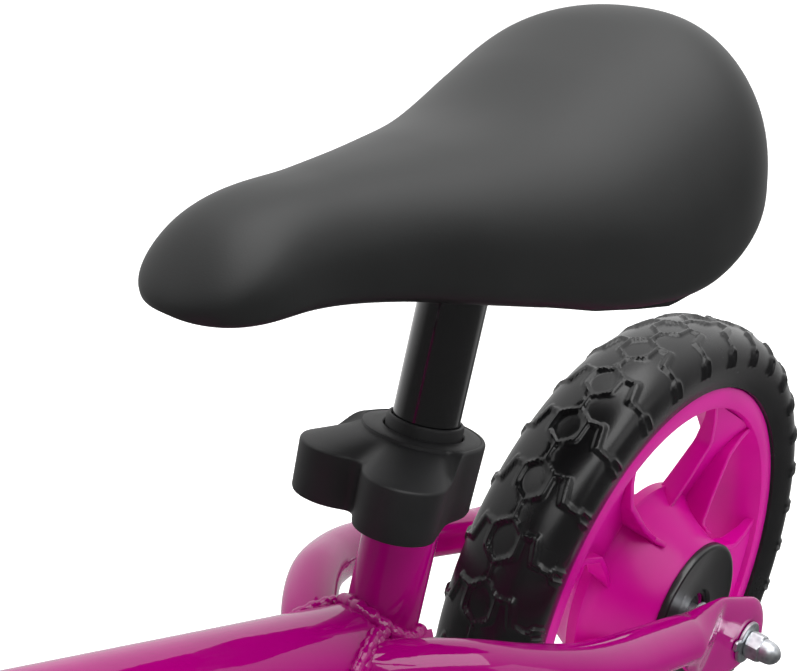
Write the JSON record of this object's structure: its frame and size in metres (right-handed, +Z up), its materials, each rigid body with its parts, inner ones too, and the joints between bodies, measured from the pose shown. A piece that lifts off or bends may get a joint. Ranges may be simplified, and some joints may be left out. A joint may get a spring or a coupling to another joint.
{
  "type": "balance bike",
  "caption": "Toddler balance bike: straight main tube, forked rear stays, moulded wheels with foam tyres, height-adjustable saddle with lobed hand nut, steerable fork and handlebar.",
  "frame": {"origin": "centre of the footprint on the floor, midway between the two wheel axles", "axes": "+Z up, the bike points along -Y, +X is the rider's left"},
  "size_m": [0.4292, 0.856, 0.5975],
  "materials": {
    "frame_paint": "glossy magenta enamel on welded steel tube",
    "wheel_plastic": "glossy magenta injection moulded plastic",
    "tyre_foam": "satin black closed-cell foam with moulded tread",
    "saddle_foam": "soft self-skinned foam, fine matte grain, dark grey",
    "black_plastic": "black moulded nylon, fine satin texture",
    "gloss_black_plastic": "glossy black moulded cap",
    "black_enamel": "glossy black enamel on steel tube",
    "grip_rubber": "soft matte black rubber",
    "zinc_steel": "bright zinc plated steel",
    "bearing_steel": "ground bearing steel",
    "plain_steel": "plain pressed steel"
  },
  "bodies": {
    "frame": {"main_tube": "frame_paint", "seat_tube": "frame_paint", "head_tube": "frame_paint", "stay_left": "frame_paint", "stay_right": "frame_paint", "headset_lower": "black_plastic", "headset_upper": "black_plastic", "clamp_bush": "black_plastic", "rear_axle": "zinc_steel", "rear_hub_sleeve": "plain_steel", "rear_spacer_left": "zinc_steel", "rear_spacer_right": "zinc_steel", "rear_washer_left": "zinc_steel", "rear_washer_right": "zinc_steel", "rear_dome_nut_left": "zinc_steel", "rear_dome_nut_right": "zinc_steel"},
    "hand_nut": {"clamp_nut": "black_plastic"},
    "seat": {"seat_post": "black_enamel", "saddle_bracket": "plain_steel", "saddle_screw_1": "zinc_steel", "saddle_screw_2": "zinc_steel", "saddle_screw_3": "zinc_steel", "saddle_pan": "black_plastic", "saddle": "saddle_foam"},
    "rear_wheel": {"rear_tyre": "tyre_foam", "rear_rim": "wheel_plastic", "rear_hub_cap_left": "gloss_black_plastic", "rear_hub_cap_right": "gloss_black_plastic", "rear_bearing_left": "bearing_steel", "rear_bearing_right": "bearing_steel"},
    "fork": {"fork_steerer": "frame_paint", "fork_leg_left": "frame_paint", "fork_leg_right": "frame_paint", "headset_nut": "zinc_steel", "stem_clamp": "black_plastic", "stem_clamp_bolt": "zinc_steel", "front_axle": "zinc_steel", "front_hub_sleeve": "plain_steel", "front_spacer_left": "zinc_steel", "front_spacer_right": "zinc_steel", "front_washer_left": "zinc_steel", "front_washer_right": "zinc_steel", "front_dome_nut_left": "zinc_steel", "front_dome_nut_right": "zinc_steel"},
    "bar": {"stem": "black_enamel", "handlebar": "black_enamel", "grip_left": "grip_rubber", "grip_right": "grip_rubber"},
    "front_wheel": {"front_tyre": "tyre_foam", "front_rim": "wheel_plastic", "front_hub_cap_left": "gloss_black_plastic", "front_hub_cap_right": "gloss_black_plastic", "front_bearing_left": "bearing_steel", "front_bearing_right": "bearing_steel"}
  },
  "joints": [
    {"name": "rear_wheel_spin", "type": "hinge", "parent": "frame", "child": "rear_wheel", "pos_m": [0, 0.28, 0.148], "axis": [1, 0, 0], "continuous": true},
    {"name": "steering", "type": "hinge", "parent": "frame", "child": "fork", "pos_m": [0, -0.25181, 0.13774], "axis": [0, 0.342, 0.9397], "range_deg": [-32, 32]},
    {"name": "front_wheel_spin", "type": "hinge", "parent": "fork", "child": "front_wheel", "pos_m": [0, -0.28, 0.148], "axis": [1, 0, 0], "continuous": true},
    {"name": "handlebar_height", "type": "slide", "parent": "fork", "child": "bar", "axis": [0, 0.342, 0.9397], "range_m": [-0.03, 0.03]},
    {"name": "saddle_height", "type": "slide", "parent": "frame", "child": "seat", "axis": [0, 0.3074, 0.9516], "range_m": [-0.025, 0.04]},
    {"name": "hand_nut_turn", "type": "hinge", "parent": "frame", "child": "hand_nut", "pos_m": [0, 0.0565, 0.148], "axis": [0, 0.3074, 0.9516], "range_deg": [0, 360]}
  ]
}
